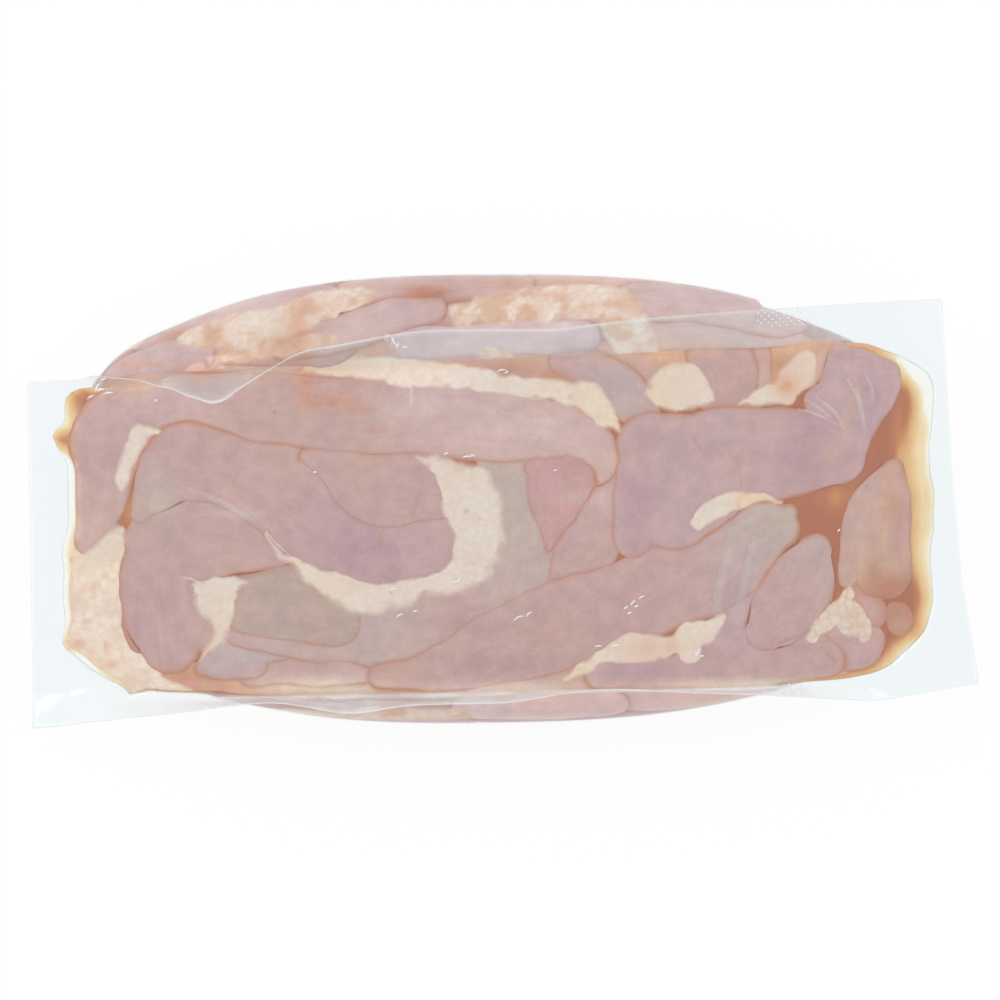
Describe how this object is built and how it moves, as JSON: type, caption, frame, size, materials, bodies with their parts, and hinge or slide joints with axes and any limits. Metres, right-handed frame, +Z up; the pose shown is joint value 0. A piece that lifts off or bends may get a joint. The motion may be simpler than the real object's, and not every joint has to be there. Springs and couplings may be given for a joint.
{
  "type": "vacuum pack of beef intestines",
  "caption": "Clear vacuum-sealed pouch packed tight with folded beef intestines, cream fat and juice: flat pressed face up, domed back with a flat foot, and a thin sealed film rim.",
  "frame": {"origin": "on the table under the middle of the whole outline, on the flat foot of the domed back", "axes": "+X along the pouch, +Y across it towards the side where the sealed rim is folded over the face, +Z up out of the pressed face"},
  "size_m": [0.2761, 0.1358, 0.0527],
  "materials": {
    "intestine": "moist and satin under clear film",
    "fat": "soft, satin and lumpy",
    "juice": "wet, clear where it is thin",
    "clear_film": "clear and glossy with fine creases"
  },
  "bodies": {
    "root": {"vacuum_pack": "intestine"}
  },
  "joints": []
}
